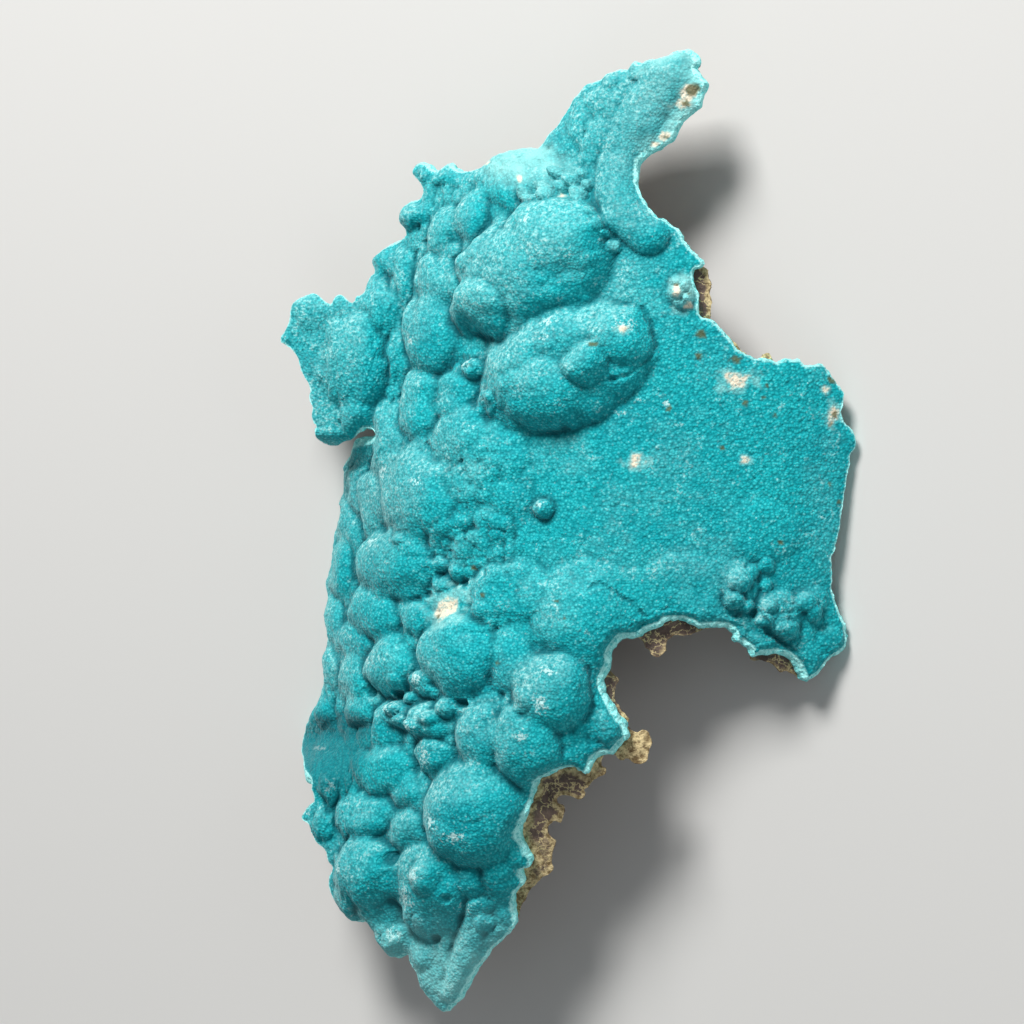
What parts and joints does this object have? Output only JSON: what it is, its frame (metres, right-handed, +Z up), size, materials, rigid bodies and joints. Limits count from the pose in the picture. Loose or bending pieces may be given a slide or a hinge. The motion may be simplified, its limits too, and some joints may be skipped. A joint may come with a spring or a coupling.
{
  "type": "rosasite specimen",
  "caption": "Curved, broken piece of lumpy blue-green rosasite crust on a thin brown goethite rind, a mineral specimen that lies on its hollow side.",
  "frame": {"origin": "bottom centre of the bounding box, on the surface that the specimen lies on", "axes": "+Y along the specimen's length towards its horn, +Z up, out of the lumpy blue side, +X towards the broad lobe"},
  "size_m": [0.0786, 0.1224, 0.0214],
  "materials": {
    "rosasite": "velvety, sugary blue-green crust, paler on its broken edges",
    "goethite": "dull dark brown with crumbly ochre edges"
  },
  "bodies": {
    "root": {"rosasite_crust": "rosasite", "goethite_rind": "goethite"}
  },
  "joints": []
}
